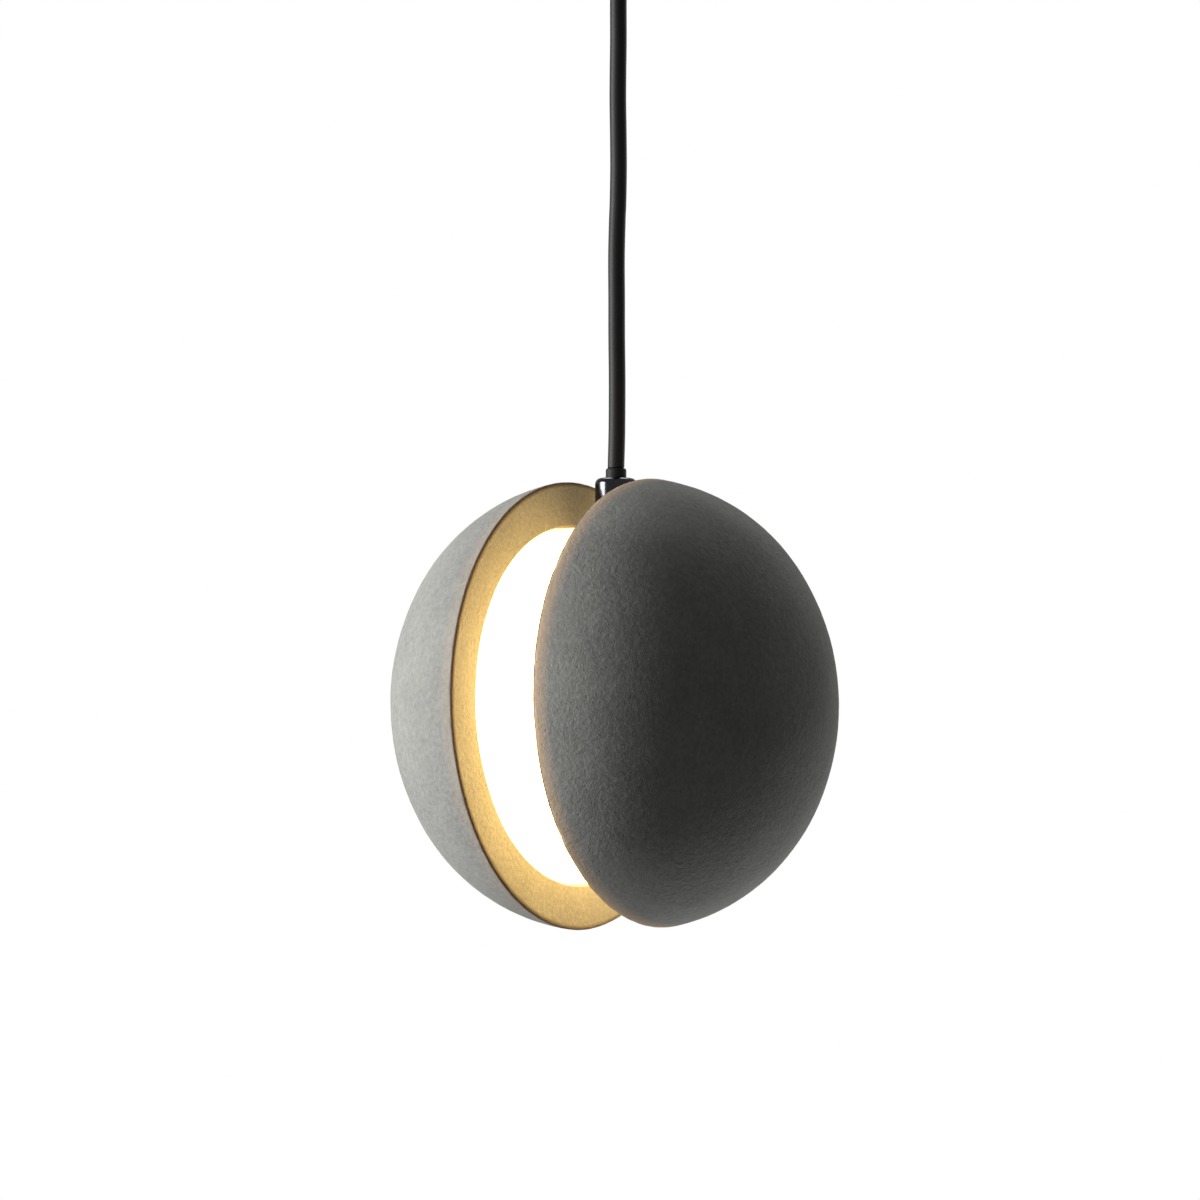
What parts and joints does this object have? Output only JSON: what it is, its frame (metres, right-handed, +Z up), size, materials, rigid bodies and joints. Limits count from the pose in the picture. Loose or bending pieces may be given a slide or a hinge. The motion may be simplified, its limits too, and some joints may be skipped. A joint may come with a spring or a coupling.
{
  "type": "pendant light",
  "caption": "Pendant light with two concrete domes that face each other across a glowing opal drum, on a round black cord from a small ceiling rose.",
  "frame": {"origin": "centre of the ceiling plate's top face, midway between its two screw holes", "axes": "+Z up into the ceiling; +X along the shared axis of the two domes, towards the right dome, which turns off; the lamp hangs towards -Z"},
  "size_m": [0.156, 0.16, 0.396],
  "materials": {
    "concrete": "cast concrete, fine sand face, matte",
    "opal_acrylic": "opal acrylic, lit from inside",
    "black_nickel": "black nickel plate, polished",
    "black_enamel": "satin black enamel",
    "black_rubber": "matte black rubber",
    "cord_sheath": "black flexible sheath, soft sheen",
    "aluminium_sheet": "bare aluminium, turned",
    "zinc_plate": "zinc plated steel",
    "brass": "turned brass",
    "white_plastic": "moulded white plastic",
    "led_board": "white solder mask",
    "led_phosphor": "yellow phosphor",
    "lead_brown": "brown insulation",
    "lead_blue": "blue insulation",
    "lead_green": "green insulation"
  },
  "bodies": {
    "ceiling_set": {"ceiling_plate": "zinc_plate", "rose_cup": "black_enamel", "rose_side_screws": "black_enamel", "driver_case": "white_plastic", "driver_screws": "zinc_plate", "terminal_block": "white_plastic", "terminal_screws": "brass", "input_leads": "lead_brown", "output_leads": "lead_blue", "earth_lead": "lead_green", "earth_screw": "brass", "grip_body": "black_enamel", "grip_nut": "zinc_plate", "grip_cap": "black_enamel", "rose_cord_end": "cord_sheath", "rose_cord_stop": "brass", "rose_stop_screw": "black_enamel"},
    "grip_swivel": {"grip_bush": "black_rubber"},
    "cord_line": {"cord": "cord_sheath"},
    "lamp_head": {"cord_collar": "black_rubber", "head_cord_end": "cord_sheath", "gland_body": "black_nickel", "gland_washer": "black_rubber", "gland_nipple": "zinc_plate", "nipple_locknut": "zinc_plate", "head_cord_stop": "brass", "head_stop_screw": "black_enamel", "led_hub": "aluminium_sheet", "left_flange": "aluminium_sheet", "right_flange": "aluminium_sheet", "hub_screws_left": "zinc_plate", "hub_screws_right": "zinc_plate", "flange_screws": "zinc_plate", "reflector_left": "white_plastic", "reflector_right": "white_plastic", "led_strip": "led_board", "led_chips": "led_phosphor", "diffuser_drum": "opal_acrylic", "connector_block": "white_plastic", "wire_live": "lead_brown", "wire_neutral": "lead_blue", "lock_studs": "zinc_plate", "shell_left": "concrete", "shell_inserts_left": "brass"},
    "right_dome": {"shell_right": "concrete", "shell_inserts_right": "brass", "lock_plate": "aluminium_sheet", "lock_plate_screws": "zinc_plate"}
  },
  "joints": [
    {"name": "swing_side", "type": "hinge", "parent": "ceiling_set", "child": "grip_swivel", "pos_m": [0, 0, -0.054], "axis": [0, 1, 0], "range_deg": [-25, 25]},
    {"name": "swing_front", "type": "hinge", "parent": "grip_swivel", "child": "cord_line", "pos_m": [0, 0, -0.054], "axis": [1, 0, 0], "range_deg": [-25, 25]},
    {"name": "head_turn", "type": "hinge", "parent": "cord_line", "child": "lamp_head", "pos_m": [0, 0, -0.2315], "axis": [0, 0, 1], "range_deg": [-90, 90], "stiffness_Nm_per_rad": 0.01},
    {"name": "dome_lock", "type": "hinge", "parent": "lamp_head", "child": "right_dome", "pos_m": [0, 0, -0.316], "axis": [1, 0, 0], "range_deg": [0, 15]}
  ]
}
